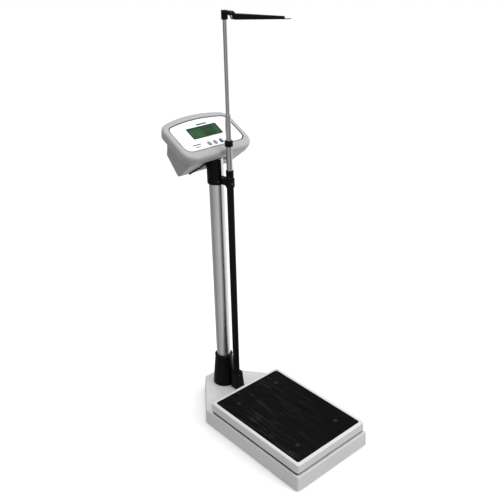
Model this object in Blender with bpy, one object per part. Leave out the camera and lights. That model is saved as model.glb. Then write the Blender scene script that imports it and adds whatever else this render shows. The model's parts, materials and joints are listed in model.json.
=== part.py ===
"""Column weighing scale with a digital indicator and a telescopic height rod.

Row frame: metres, +Z up, -Y towards the person who stands on the platform's front,
+X to the right of someone who reads the display. The origin is on the floor, under the
centre of the whole object's outline.
"""

import math

import bmesh
import bpy
from mathutils import Matrix, Vector

GAP = 0.0003                 # clearance between neighbouring pieces

# Base and platform
BASE_WIDTH = 0.290
BASE_FRONT_Y = -0.3020
BASE_REAR_Y = 0.2455
TAPER_START_Y = 0.1010       # where the sides start to close in towards the column
REAR_WIDTH = 0.070
BASE_BOTTOM_Z = 0.004
BASE_TOP_Z = 0.048
BASE_DRAFT = 0.0025
BASE_WALL = 0.0025
PLATFORM_Y = -0.1070         # centre of the platform
TRAY_WIDTH = 0.275
TRAY_LENGTH = 0.375
TRAY_BOTTOM_Z = 0.055
TRAY_TOP_Z = 0.083
TRAY_RECESS_DEPTH = 0.0031
TRAY_SKIN = 0.002
MAT_WIDTH = 0.252
MAT_LENGTH = 0.353
MAT_THICKNESS = 0.0034
MAT_CORNER = 0.0055
SUPPORT_SPACING = (0.078, 0.1265)    # half spacing of the four rubber buffers
FOOT_PLACES = {
    "front_left": (-0.118, -0.273), "front_right": (0.118, -0.273),
    "rear_left": (-0.112, 0.097), "rear_right": (0.112, 0.097),
}

# Column
COLUMN_Y = 0.1820
COLUMN_RADIUS = 0.0220
COLUMN_WALL = 0.0016
SOCKET_TOP_Z = 0.154
SOCKET_BASE_RADIUS = 0.037
SOCKET_TOP_RADIUS = 0.0275
COLUMN_BOLT_CIRCLE = 0.0300
BOLT_RADIUS = 0.0040         # column bolts and foot threads
BOLT_HOLE = BOLT_RADIUS + GAP
FRAME_Z = (0.009, 0.012)     # the frame plate's lower and upper face

# Telescopic height rod
ROD_X = 0.0080
ROD_Y = 0.1300
ROD_FOOT_TOP_Z = 0.105
OUTER_TUBE = (0.0102, 0.0092, 0.0520, 0.7595)    # outer radius, bore radius, bottom, top
LOWER_TUBE = (0.0088, 0.0081, 0.3800, 0.8505)
MIDDLE_TUBE = (0.0078, 0.0070, 0.4710, 0.9370)
UPPER_ROD = (0.0054, 0.0042, 0.5170, 1.2030)
LOWER_RING_Z = (0.7605, 0.7820)
UPPER_RING_Z = (0.8512, 0.8680)
CLAMP_Z = (0.7330, 0.7570)
CLAMP_RADIUS = 0.0133
SHELL_RADIUS = 0.0264        # outer radius of the bracket's half shell on the column
SHELL_TOP_Z = 0.830
HEAD_BOTTOM_Z = 1.1860
HEAD_TOP_Z = 1.2090
HEAD_WIDTH = 0.0135
PIVOT_FORWARD = 0.0360       # arm pivot in front of the rod's axis
PIVOT_Z = 1.1960
ARM_RISE = math.radians(4.9)    # the arm rises this much towards its tip
ARM_LENGTH = 0.184           # pivot to the end of the channel
ARM_TIP_WIDTH = 0.0065
HEAD_PLATE_TIP = 0.2045      # pivot to the tip of the thin plate
CHEEK_RADIUS = 0.0062
TONGUE_WIDTH = 0.0098

# Indicator: its own frame has x across, s up the slope of the face and n out of it
FACE_TILT = math.radians(28.0)
FACE_CENTRE = (0.0, 0.2254, 0.8783)    # middle of the display window
BEZEL_HALF_WIDTH = 0.1200
BEZEL_TOP_S = 0.0754
BEZEL_BOTTOM_S = -0.0920
BEZEL_DEPTH = 0.0300
BEZEL_BACK = 0.0025          # the bezel's rear wall, open over the case
BEZEL_SKIN = 0.0030
PANEL_HALF_WIDTH = 0.1045
PANEL_TOP_S = 0.0540
PANEL_BOTTOM_S = -0.0670
PANEL_RECESS = 0.0026
PANEL_THICKNESS = 0.0009
WINDOW_SIZE = (0.100, 0.040)
KEY_SIZE = (0.0100, 0.0150)
KEY_PITCH = 0.0210
KEY_S = -0.0495
KEY_X = 0.0030
CASE_HALF_WIDTH = 0.1015
CASE_WALL = 0.0025
STRIP_SIZE = (0.0050, 0.0030)   # width and thickness of the rubber strips under the case
STRIP_TOP = (0.0465, 0.0460)    # across from the middle, and down the case's lower front face
STRIP_END = (0.0580, 0.0830)
BRACKET_SIZE = (0.084, 0.053, 0.0030)   # plate between the column and the indicator
INDICATOR_SCREW = (0.034, 0.0305)       # across from the middle, and down the same face
DOOR_X = -0.0100
POWER_SOCKET_X = 0.0720
# Side profile of the rear case, (s, n): front edge, lowest edge, rear lower edge, rear edge
CASE_PROFILE = ((-0.084, -0.0303), (-0.046, -0.111), (0.024, -0.086), (0.034, -0.0303))
DOOR_SIZE = (0.104, 0.056, 0.0022)
HINGE_INSET = 0.0012         # the door's hinge line, in from the edge of its opening

ROUND = 48                   # segments of large round pieces
SMALL_ROUND = 24


# ---------------------------------------------------------------- scene and materials

def clear_scene():
    for item in list(bpy.data.objects):
        bpy.data.objects.remove(item, do_unlink=True)


def material(name, colour, roughness, metallic=0.0, alpha=1.0):
    made = bpy.data.materials.new(name)
    made.use_nodes = True
    shader = made.node_tree.nodes["Principled BSDF"]
    shader.inputs["Base Color"].default_value = (*colour, 1.0)
    shader.inputs["Roughness"].default_value = roughness
    shader.inputs["Metallic"].default_value = metallic
    shader.inputs["Alpha"].default_value = alpha
    return made


def make_materials():
    return {
        "paint": material("light_grey_paint", (0.72, 0.73, 0.73), 0.45),
        "black_plastic": material("black_plastic", (0.012, 0.012, 0.013), 0.42),
        "rubber": material("black_rubber", (0.016, 0.016, 0.017), 0.75),
        "satin": material("satin_steel", (0.60, 0.60, 0.60), 0.32, 1.0),
        "chrome": material("chrome", (0.78, 0.78, 0.79), 0.12, 1.0),
        "zinc": material("zinc_plated_steel", (0.62, 0.62, 0.60), 0.35, 1.0),
        "black_steel": material("black_steel", (0.020, 0.020, 0.021), 0.5),
        "aluminium": material("aluminium", (0.75, 0.75, 0.76), 0.35, 1.0),
        "case": material("grey_case_plastic", (0.50, 0.51, 0.51), 0.42),
        "panel": material("white_panel", (0.90, 0.90, 0.90), 0.35),
        "glass": material("display_window", (0.85, 0.90, 0.86), 0.05, 0.0, 0.3),
        "lcd": material("display_green", (0.055, 0.165, 0.075), 0.3),
        "key_grey": material("key_grey", (0.45, 0.45, 0.47), 0.4),
        "key_blue": material("key_blue", (0.03, 0.05, 0.25), 0.4),
        "board": material("circuit_board", (0.02, 0.16, 0.06), 0.5),
        "battery": material("battery_wrap", (0.05, 0.10, 0.35), 0.4),
    }


# ---------------------------------------------------------------- building tools

def link(name, bm, look, parent=None, location=(0, 0, 0), rotation=(0, 0, 0), angle=35):
    """Turn a bmesh into a named object, with outward faces and smooth round parts."""
    bmesh.ops.remove_doubles(bm, verts=bm.verts, dist=1e-7)
    bmesh.ops.recalc_face_normals(bm, faces=bm.faces)
    mesh = bpy.data.meshes.new(name)
    bm.to_mesh(mesh)
    bm.free()
    mesh.shade_smooth()
    mesh.set_sharp_from_angle(angle=math.radians(angle))
    made = bpy.data.objects.new(name, mesh)
    if look is not None:
        mesh.materials.append(look)
    made.location = location
    made.rotation_euler = rotation
    made.parent = parent
    bpy.context.scene.collection.objects.link(made)
    return made


def empty(name, location, rotation=(0, 0, 0)):
    made = bpy.data.objects.new(name, None)
    made.location = location
    made.rotation_euler = rotation
    bpy.context.scene.collection.objects.link(made)
    return made


def loft(rings):
    """A closed body through rings of equally many points, with flat ends."""
    bm = bmesh.new()
    rows = [[bm.verts.new(point) for point in ring] for ring in rings]
    count = len(rows[0])
    for low, high in zip(rows, rows[1:]):
        for i in range(count):
            j = (i + 1) % count
            bm.faces.new((low[i], low[j], high[j], high[i]))
    bm.faces.new(list(reversed(rows[0])))
    bm.faces.new(rows[-1])
    return bm


def prism(outline, low, high):
    return loft([[(x, y, z) for x, y in outline] for z in (low, high)])


def box(size, centre=(0, 0, 0)):
    bm = bmesh.new()
    bmesh.ops.create_cube(bm, size=1.0, matrix=Matrix.Translation(centre)
                          @ Matrix.Diagonal((*size, 1.0)))
    return bm


def box_between(low, high):
    size = [b - a for a, b in zip(low, high)]
    centre = [(a + b) / 2 for a, b in zip(low, high)]
    return box(size, centre)


def lathe(profile, segments=SMALL_ROUND):
    """Turn a closed (radius, height) profile about the Z axis."""
    bm = bmesh.new()
    points = [bm.verts.new((radius, 0.0, height)) for radius, height in profile]
    edges = [bm.edges.new((a, b)) for a, b in zip(points, points[1:] + points[:1])]
    bmesh.ops.spin(bm, geom=points + edges, cent=(0, 0, 0), axis=(0, 0, 1),
                   angle=math.tau, steps=segments, use_merge=True, use_duplicate=False)
    bmesh.ops.remove_doubles(bm, verts=bm.verts, dist=1e-6)
    bmesh.ops.dissolve_degenerate(bm, edges=bm.edges, dist=1e-7)
    loose = [edge for edge in bm.edges if not edge.link_faces]
    bmesh.ops.delete(bm, geom=loose, context="EDGES")
    bad = [face for face in bm.faces if face.calc_area() < 1e-14]
    bmesh.ops.delete(bm, geom=bad, context="FACES")
    return bm


def rod(radius, low, high, segments=SMALL_ROUND):
    return prism(arc((0, 0), radius, 0, 360, segments)[:-1], low, high)


def tube(outer, bore, low, high, segments=SMALL_ROUND, chamfer=0.0):
    profile = [(bore, low), (outer, low), (outer, high), (bore, high)]
    if chamfer:
        profile = [(bore, low), (outer - chamfer, low), (outer, low + chamfer),
                   (outer, high - chamfer), (outer - chamfer, high), (bore, high)]
    return lathe(profile, segments)


def modify(target, cutter, operation):
    cutter.hide_render = True
    cutter.display_type = "WIRE"
    step = target.modifiers.new(cutter.name, "BOOLEAN")
    step.operation = operation
    step.solver = "EXACT"
    step.object = cutter


def cut(target, bm, location=(0, 0, 0), rotation=(0, 0, 0)):
    """Take the bmesh's volume away from the target, in the target's parent frame."""
    tool = link(target.name + "_cutter", bm, None, target.parent, location, rotation)
    modify(target, tool, "DIFFERENCE")


def add(target, bm, location=(0, 0, 0), rotation=(0, 0, 0)):
    tool = link(target.name + "_piece", bm, None, target.parent, location, rotation)
    modify(target, tool, "UNION")


def bevel(target, width, segments=2, angle=40):
    step = target.modifiers.new("edge", "BEVEL")
    step.width = width
    step.segments = segments
    step.limit_method = "ANGLE"
    step.angle_limit = math.radians(angle)


# ---------------------------------------------------------------- outlines

def arc(centre, radius, start, end, steps):
    """Points of an arc, angles in degrees."""
    angles = [math.radians(start + (end - start) * i / steps) for i in range(steps + 1)]
    return [(centre[0] + radius * math.cos(a), centre[1] + radius * math.sin(a))
            for a in angles]


def rounded_polygon(corners, inset, radius, steps=4):
    """A convex polygon, counter-clockwise, moved inwards by inset, with round corners."""
    count = len(corners)
    points = [Vector(corner) for corner in corners]
    lines = []
    for i in range(count):
        along = (points[(i + 1) % count] - points[i]).normalized()
        inward = Vector((-along.y, along.x))
        lines.append((points[i] + inward * (inset + radius), along, inward))
    outline = []
    for i in range(count):
        start, along_in, inward_in = lines[i - 1]
        other, along_out, inward_out = lines[i]
        cross = along_in.x * along_out.y - along_in.y * along_out.x
        offset = other - start
        reach = (offset.x * along_out.y - offset.y * along_out.x) / cross
        centre = start + along_in * reach
        first = math.degrees(math.atan2(-inward_in.y, -inward_in.x))
        last = math.degrees(math.atan2(-inward_out.y, -inward_out.x))
        if last < first:
            last += 360
        outline += arc(centre, radius, first, last, steps)
    return outline


def rectangle(width, length, radius, centre=(0, 0), steps=4):
    x, y = width / 2, length / 2
    corners = [(-x, -y), (x, -y), (x, y), (-x, y)]
    moved = [(a + centre[0], b + centre[1]) for a, b in corners]
    return rounded_polygon(moved, 0, radius, steps)


def oval(width, length, centre=(0, 0), steps=20):
    angles = [math.tau * i / steps for i in range(steps)]
    return [(centre[0] + width / 2 * math.cos(a), centre[1] + length / 2 * math.sin(a))
            for a in angles]


def base_outline(inset, radius=0.008):
    """The base seen from above: a rectangle that closes in towards the column."""
    half, rear = BASE_WIDTH / 2, REAR_WIDTH / 2
    corners = [(-half, BASE_FRONT_Y), (half, BASE_FRONT_Y), (half, TAPER_START_Y),
               (rear, BASE_REAR_Y), (-rear, BASE_REAR_Y), (-half, TAPER_START_Y)]
    return rounded_polygon(corners, inset, max(radius - inset, 0.003))


def shield_outline(half_width, bottom, top, arch, low_radius, high_radius, inset=0.0):
    """The indicator's face: level lower edge, arched upper edge, round corners."""
    w = half_width - inset
    low, high = bottom + inset, top - inset
    low_r, high_r = low_radius - inset, high_radius - inset
    shoulder = high - arch
    lower = arc((w - low_r, low + low_r), low_r, -90, 0, 7)
    slope = math.degrees(math.atan2(2 * arch, w - high_r))
    upper = arc((w - high_r, shoulder - high_r), high_r, 0, 90 - slope, 6)
    x_end, s_end = upper[-1]
    crown = []
    for i in range(1, 7):
        x = x_end * (1 - i / 6)
        crown.append((x, high - (high - s_end) * (x / x_end) ** 2))
    right = lower + upper + crown
    left = [(-x, s) for x, s in reversed(right[:-1])]
    return right + left


def bezel_outline(inset=0.0):
    return shield_outline(BEZEL_HALF_WIDTH, BEZEL_BOTTOM_S, BEZEL_TOP_S, 0.0120,
                          0.038, 0.034, inset)


def panel_outline(inset=0.0):
    return shield_outline(PANEL_HALF_WIDTH, PANEL_BOTTOM_S, PANEL_TOP_S, 0.0100,
                          0.022, 0.018, inset)


def edge_round(radius, steps=3):
    """Inset and height steps of a quarter-round edge, from the side to the top."""
    angles = [math.pi / 2 * i / steps for i in range(steps + 1)]
    return [(radius * (1 - math.cos(a)), radius * math.sin(a)) for a in angles]


# ---------------------------------------------------------------- fasteners

def screw_profile(head_radius, head_height, shank_radius, shank_length):
    """A round-headed screw: head above zero, shank below."""
    return [(0, -shank_length), (shank_radius, -shank_length), (shank_radius, 0),
            (head_radius, 0), (head_radius, head_height * 0.45),
            (head_radius * 0.75, head_height * 0.85), (head_radius * 0.35, head_height),
            (0, head_height)]


def round_screw(name, look, head_radius, shank_radius, shank_length, location, rotation,
                parent=None):
    profile = screw_profile(head_radius, head_radius * 0.55, shank_radius, shank_length)
    return link(name, lathe(profile, 16), look, parent, location, rotation)


def hexagon(across_flats):
    radius = across_flats / math.sqrt(3)
    return [(radius * math.cos(math.radians(60 * i)), radius * math.sin(math.radians(60 * i)))
            for i in range(6)]


# ---------------------------------------------------------------- base

def base_cover(looks):
    top_edge = 0.0035
    rings = [(0.0, BASE_BOTTOM_Z)]
    for inset, rise in edge_round(top_edge):
        rings.append((BASE_DRAFT + inset, BASE_TOP_Z - top_edge + rise))
    body = loft([[(x, y, z) for x, y in base_outline(inset)] for inset, z in rings])
    cover = link("base_cover", body, looks["paint"])
    inner = [(BASE_WALL, BASE_BOTTOM_Z - 0.001),
             (BASE_WALL + BASE_DRAFT, BASE_TOP_Z - top_edge),
             (BASE_WALL + BASE_DRAFT + 0.002, BASE_TOP_Z - BASE_WALL)]
    cut(cover, loft([[(x, y, z) for x, y in base_outline(inset)] for inset, z in inner]))
    above = BASE_TOP_Z + 0.001
    below = BASE_TOP_Z - 0.004
    cell_opening = rectangle(0.070, 0.080, 0.006, (0, PLATFORM_Y - 0.042))
    cut(cover, prism(cell_opening, below, above))
    for x, y in column_bolt_places():
        cut(cover, rod(BOLT_HOLE, below, above), (x, y, 0))
    cut(cover, rod(0.0080, below, above), (0, COLUMN_Y, 0))
    return cover


def base_frame(looks):
    plate = prism(base_outline(0.008), *FRAME_Z)
    frame = link("base_frame", plate, looks["black_steel"])
    for side in (-1, 1):
        x = side * 0.085
        add(frame, box_between((x - 0.010, -0.285, 0.011), (x + 0.010, 0.087, 0.030)))
    tower_top = BASE_TOP_Z - BASE_WALL - GAP
    add(frame, rod(0.0440, 0.011, tower_top, ROUND), (0, COLUMN_Y, 0))
    for x, y in column_bolt_places():
        cut(frame, rod(BOLT_HOLE, 0.008, 0.050), (x, y, 0))
    for x, y in FOOT_PLACES.values():
        cut(frame, rod(BOLT_HOLE, 0.008, 0.014), (x, y, 0))
    # cable duct: up through the tower, and forward out of its side
    cut(frame, rod(0.0080, 0.0185, 0.050), (0, COLUMN_Y, 0))
    cut(frame, box_between((-0.006, COLUMN_Y - 0.050, 0.020),
                           (0.006, COLUMN_Y, 0.032)))
    return frame


def column_bolt_places():
    reach = COLUMN_BOLT_CIRCLE / math.sqrt(2)
    return [(a * reach, COLUMN_Y + b * reach) for a in (-1, 1) for b in (-1, 1)]


def column_bolts(looks):
    head_top = FRAME_Z[0] - GAP
    for number, (x, y) in enumerate(column_bolt_places(), 1):
        head = prism(hexagon(0.013), head_top - 0.0045, head_top)
        bolt = link(f"column_bolt_{number}", head, looks["zinc"], None, (x, y, 0))
        add(bolt, rod(BOLT_RADIUS, head_top - 0.002, 0.060, 16), (x, y, 0))


def levelling_feet(looks):
    profile = [(0, 0), (0.0140, 0), (0.0150, 0.0010), (0.0150, 0.0045), (0.0110, 0.0075),
               (BOLT_RADIUS, 0.0075), (BOLT_RADIUS, 0.0240), (0.0034, 0.0250), (0, 0.0250)]
    for place, (x, y) in FOOT_PLACES.items():
        link(f"levelling_foot_{place}", lathe(profile), looks["rubber"], None, (x, y, 0))
        nut = link(f"lock_nut_{place}", prism(hexagon(0.013), 0.0123, 0.0175),
                   looks["zinc"], None, (x, y, 0))
        cut(nut, rod(BOLT_HOLE, 0.010, 0.020), (x, y, 0))


def load_cell(looks):
    low, high = 0.0166, 0.0423
    half_length = 0.065
    body = box_between((-0.020, PLATFORM_Y - half_length, low),
                       (0.020, PLATFORM_Y + half_length, high))
    cell = link("load_cell", body, looks["aluminium"])
    bevel(cell, 0.0008, 1)
    middle = (low + high) / 2
    for side in (-1, 1):
        cut(cell, rod(0.0085, -0.030, 0.030), (0, PLATFORM_Y + side * 0.013, middle),
            (0, math.pi / 2, 0))
    cut(cell, box((0.060, 0.026, 0.005), (0, PLATFORM_Y, middle)))
    rear = PLATFORM_Y + half_length
    link("load_cell_lower_spacer", box_between((-0.020, rear - 0.038, 0.0123),
                                               (0.020, rear, low - GAP)),
         looks["zinc"])
    front = PLATFORM_Y - half_length
    link("load_cell_upper_spacer", box_between((-0.020, front, 0.0431),
                                               (0.020, front + 0.038, 0.0507)),
         looks["zinc"])


def platform_support(looks):
    low, plate_top, rail_top = 0.0488, TRAY_BOTTOM_Z - 0.0006, 0.0720
    outline = rectangle(TRAY_WIDTH - 0.0020, TRAY_LENGTH - 0.0065, 0.006, (0, PLATFORM_Y))
    support = link("platform_support", prism(outline, low, plate_top), looks["black_steel"])
    well = rectangle(0.240, 0.340, 0.008, (0, PLATFORM_Y))
    cut(support, prism(well, low - 0.001, 0.0510))
    sx, sy = SUPPORT_SPACING
    rail = 0.026
    base = plate_top - 0.001
    for side in (-1, 1):
        add(support, box_between((side * sx - rail / 2, PLATFORM_Y - 0.150, base),
                                 (side * sx + rail / 2, PLATFORM_Y + 0.150, rail_top)))
    for y in (-sy, 0.0, sy):
        add(support, box_between((-0.110, PLATFORM_Y + y - rail / 2, base),
                                 (0.110, PLATFORM_Y + y + rail / 2, rail_top - 0.002)))
    buffer = [(0, rail_top + GAP), (0.0115, rail_top + GAP), (0.0125, rail_top + 0.0015),
              (0.0125, 0.0765), (0.0115, 0.0776), (0, 0.0776)]
    number = 0
    for a in (-1, 1):
        for b in (-1, 1):
            number += 1
            link(f"support_buffer_{number}", lathe(buffer), looks["rubber"], None,
                 (a * sx, PLATFORM_Y + b * sy, 0))


def platform_tray(looks):
    def ring(inset, z, radius=0.0075):
        outline = rectangle(TRAY_WIDTH - 2 * inset, TRAY_LENGTH - 2 * inset,
                            max(radius - inset, 0.002), (0, PLATFORM_Y))
        return [(x, y, z) for x, y in outline]

    edge = 0.0042
    rings = [ring(0, TRAY_BOTTOM_Z)]
    for inset, rise in edge_round(edge, 4):
        rings.append(ring(inset, TRAY_TOP_Z - edge + rise))
    tray = link("platform_tray", loft(rings), looks["paint"])
    floor = TRAY_TOP_Z - TRAY_RECESS_DEPTH
    underside = floor - TRAY_SKIN
    cut(tray, loft([ring(0.0020, TRAY_BOTTOM_Z - 0.001), ring(0.0020, TRAY_TOP_Z - edge),
                    ring(0.0050, underside)]))
    recess = rectangle(MAT_WIDTH + 4 * GAP, MAT_LENGTH + 4 * GAP, MAT_CORNER + 2 * GAP,
                       (0, PLATFORM_Y))
    cut(tray, prism(recess, floor, TRAY_TOP_Z + 0.001))
    return tray


def platform_mat(looks):
    low = TRAY_TOP_Z - TRAY_RECESS_DEPTH + GAP
    high = low + MAT_THICKNESS
    edge = 0.0008
    rings = []
    for inset, z in ((0, low), (0, high - edge), (edge, high)):
        outline = rectangle(MAT_WIDTH - 2 * inset, MAT_LENGTH - 2 * inset,
                            MAT_CORNER - inset, (0, PLATFORM_Y))
        rings.append([(x, y, z) for x, y in outline])
    link("platform_mat", loft(rings), looks["rubber"])


# ---------------------------------------------------------------- column

def column_socket(looks):
    base = BASE_TOP_Z + GAP
    seat = 0.0560
    bore = COLUMN_RADIUS + GAP
    lip = SOCKET_TOP_Z - 0.005
    profile = [(0.0080, base), (SOCKET_BASE_RADIUS - 0.001, base),
               (SOCKET_BASE_RADIUS, base + 0.0015), (SOCKET_TOP_RADIUS, lip),
               (SOCKET_TOP_RADIUS + 0.0009, lip + 0.0012),
               (SOCKET_TOP_RADIUS + 0.0009, SOCKET_TOP_Z - 0.0010),
               (SOCKET_TOP_RADIUS, SOCKET_TOP_Z), (0.0258, SOCKET_TOP_Z),
               (0.0250, SOCKET_TOP_Z - 0.0045), (bore, SOCKET_TOP_Z - 0.0065),
               (bore, seat), (0.0080, seat)]
    socket = link("column_socket", lathe(profile, ROUND), looks["black_plastic"], None,
                  (0, COLUMN_Y, 0))
    for x, y in column_bolt_places():
        cut(socket, rod(BOLT_HOLE, base - 0.001, 0.0615, 16), (x, y, 0))


def cut_below_indicator(target, gap):
    """Trim a piece to stay under the case's lower front face and the bezel's rear edge."""
    start, slope = case_front_plane()
    offset = Vector((0, -math.sin(slope), -math.cos(slope))) * gap
    cut(target, box((0.4, 0.4, 0.2), (0, 0, 0.1)), start + offset, (-slope, 0, 0))
    under_bezel = face_point(0, BEZEL_BOTTOM_S, -BEZEL_DEPTH - 2 * GAP)
    cut(target, box((0.4, 0.4, 0.2), (0, 0, 0.1)), under_bezel, (FACE_TILT, 0, 0))


def case_front_plane():
    """A point on the case's lower front face, in the row frame, and its fall in radians."""
    front, lowest = (face_point(0, s, n) for s, n in CASE_PROFILE[:2])
    fall = math.atan2(front.z - lowest.z, lowest.y - front.y)
    return front, fall


def face_point(x, s, n):
    """A point of the indicator's own frame, in the row frame."""
    turn = Matrix.Rotation(FACE_TILT, 4, "X")
    return Matrix.Translation(FACE_CENTRE) @ turn @ Vector((x, s, n))


def column_tube(looks):
    bore = COLUMN_RADIUS - COLUMN_WALL
    body = tube(COLUMN_RADIUS, bore, 0.0563, SHELL_TOP_Z, ROUND)
    column = link("column_tube", body, looks["satin"], None, (0, COLUMN_Y, 0))
    cut_below_indicator(column, BRACKET_SIZE[2] + 2 * GAP)


def indicator_bracket(looks):
    """A sloping steel plate under the indicator, with a plug that fits in the column."""
    start, fall = case_front_plane()
    width, length, thickness = BRACKET_SIZE
    outline = rectangle(width, length, 0.006, (0, INDICATOR_SCREW[1]))
    bracket = link("indicator_bracket", prism(outline, -thickness, 0), looks["black_steel"],
                   None, start + Vector((0, -math.sin(fall), -math.cos(fall))) * GAP,
                   (-fall, 0, 0))
    plug_radius = COLUMN_RADIUS - COLUMN_WALL - GAP
    plug = link("indicator_bracket_plug", rod(plug_radius, 0.740, SHELL_TOP_Z, ROUND), None,
                None, (0, COLUMN_Y, 0))
    cut_below_indicator(plug, GAP + thickness / 2)
    modify(bracket, plug, "UNION")
    cut(bracket, rod(0.0060, 0.700, 0.850), (0, COLUMN_Y, 0))
    for side in (-1, 1):
        cut(bracket, rod(0.0028, -0.010, 0.010, 16), bracket_screw_place(side), (-fall, 0, 0))
        turn = (math.pi - fall, 0, 0)
        place = bracket_screw_place(side, GAP + thickness + GAP)
        name = "indicator_screw_" + ("left" if side < 0 else "right")
        round_screw(name, looks["zinc"], 0.0045, 0.0025, 0.0080, place, turn)


def bracket_screw_place(side, depth=0.0):
    """On the bracket plate's centre line across, left or right of the column."""
    start, fall = case_front_plane()
    along = Vector((0, math.cos(fall), -math.sin(fall)))
    outward = Vector((0, -math.sin(fall), -math.cos(fall)))
    across, down = INDICATOR_SCREW
    return start + Vector((side * across, 0, 0)) + along * down + outward * depth


# ---------------------------------------------------------------- height rod

def rod_foot(looks):
    """A flared shoe that holds the outer tube on the base."""
    low, high = BASE_TOP_Z + GAP, ROD_FOOT_TOP_Z
    # left, right, front and rear reach from the rod's axis at each height
    sections = ((-0.0160, 0.0215, -0.0140, 0.0142, low),
                (-0.0155, 0.0205, -0.0138, 0.0140, low + 0.005),
                (-0.0130, 0.0150, -0.0130, 0.0130, high - 0.0015),
                (-0.0122, 0.0142, -0.0122, 0.0122, high))
    rings = []
    for left, right, front, rear, z in sections:
        centre = ((left + right) / 2, (front + rear) / 2)
        outline = rectangle(right - left, rear - front, 0.003, centre, 2)
        rings.append([(x, y, z) for x, y in outline])
    place = (ROD_X, ROD_Y, 0)
    foot = link("rod_foot", loft(rings), looks["black_plastic"], None, place)
    cut(foot, rod(OUTER_TUBE[0] + GAP, OUTER_TUBE[2] - GAP, 0.120), place)
    screw_z = 0.094
    turn = (math.pi / 2, 0, 0)
    front = ROD_Y - 0.0133
    cut(foot, rod(0.0022, -0.006, 0.003, 16), (ROD_X, front, screw_z), turn)
    round_screw("rod_foot_screw", looks["black_steel"], 0.0032, 0.0018, 0.0022,
                (ROD_X, front - 0.0002, screw_z), turn)


def rod_outer_tube(looks):
    outer, bore, low, high = OUTER_TUBE
    link("rod_outer_tube", tube(outer, bore, low, high, 32), looks["black_plastic"], None,
         (ROD_X, ROD_Y, 0))


def rod_bracket(looks):
    """A half shell on the column, with an arm to a ring around the height rod."""
    low = 0.7345
    body = tube(SHELL_RADIUS, COLUMN_RADIUS, low, SHELL_TOP_Z, ROUND, 0.0008)
    bracket = link("rod_bracket", body, looks["black_plastic"], None, (0, COLUMN_Y, 0))
    cut(bracket, box_between((-0.0012, COLUMN_Y - 0.030, 0.730),
                             (0.0600, COLUMN_Y + 0.040, 0.900)))
    add(bracket, box_between((-0.0066, ROD_Y + 0.004, 0.7385),
                             (0.0100, COLUMN_Y - 0.0190, 0.7575)))
    add(bracket, rod(CLAMP_RADIUS, *CLAMP_Z, 32), (ROD_X, ROD_Y, 0))
    cut(bracket, rod(COLUMN_RADIUS + GAP, 0.700, 0.900, ROUND), (0, COLUMN_Y, 0))
    cut(bracket, rod(OUTER_TUBE[0] + GAP, 0.700, 0.800, 32), (ROD_X, ROD_Y, 0))
    cut_below_indicator(bracket, BRACKET_SIZE[2] + 2 * GAP)
    for name, centre, radius, heading, height in bracket_screws():
        outward = Vector((math.cos(heading), math.sin(heading), 0))
        place = Vector((*centre, height)) + outward * radius
        turn = outward.to_track_quat("Z", "Y").to_euler()
        cut(bracket, rod(0.0019, -0.010, 0.004, 16), place, turn)
        round_screw(name, looks["black_steel"], 0.0030, 0.0016, 0.0024,
                    place + outward * GAP, turn)


def bracket_screws():
    """Name, axis of the round part, its radius, heading of the screw and its height."""
    return (("bracket_screw_column", (0, COLUMN_Y), SHELL_RADIUS, math.radians(-116), 0.745),
            ("bracket_screw_rod", (ROD_X, ROD_Y), CLAMP_RADIUS, math.radians(-106), 0.745))


def lock_ring(name, looks, bore, radius, low, high):
    """A twist lock with shallow grip scallops around it."""
    lobes, steps = 12, 4
    depth = 0.0005
    rings = []
    edge = 0.0010
    for inset, z in ((edge, low), (0, low + edge), (0, high - edge), (edge, high)):
        ring = []
        for i in range(lobes * steps):
            angle = math.tau * i / (lobes * steps)
            reach = radius - inset - depth * (0.5 - 0.5 * math.cos(lobes * angle))
            ring.append((reach * math.cos(angle), reach * math.sin(angle), z))
        rings.append(ring)
    place = (ROD_X, ROD_Y, 0)
    made = link(name, loft(rings), looks["black_plastic"], None, place)
    cut(made, rod(bore, low - 0.001, high + 0.001, 32), place)


def telescopic_tubes(looks):
    place = (ROD_X, ROD_Y, 0)
    outer, bore, low, high = LOWER_TUBE
    link("rod_lower_tube", tube(outer, bore, low, high, 32), looks["chrome"], None, place)
    outer, bore, low, high = MIDDLE_TUBE
    link("rod_middle_tube", tube(outer, bore, low, high, 32), looks["chrome"], None, place)
    bush_bore = UPPER_ROD[0] + GAP
    shank = bore - GAP
    bush = [(bush_bore, high - 0.016), (shank, high - 0.016), (shank, high + GAP),
            (outer, high + GAP), (outer, high + 0.0020), (outer - 0.001, high + 0.0030),
            (bush_bore, high + 0.0030)]
    link("rod_guide_bush", lathe(bush, 32), looks["chrome"], None, place)
    outer, bore, low, high = UPPER_ROD
    link("rod_upper_tube", tube(outer, bore, low, high, SMALL_ROUND), looks["chrome"], None,
         place)


def side_prism(profile, half_width):
    """A body from a (forward, up) side profile, as wide as twice half_width.

    In the head's own frame the arm points along -Y.
    """
    rings = [[(x, -forward, up) for forward, up in profile]
             for x in (-half_width, half_width)]
    return loft(rings)


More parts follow.
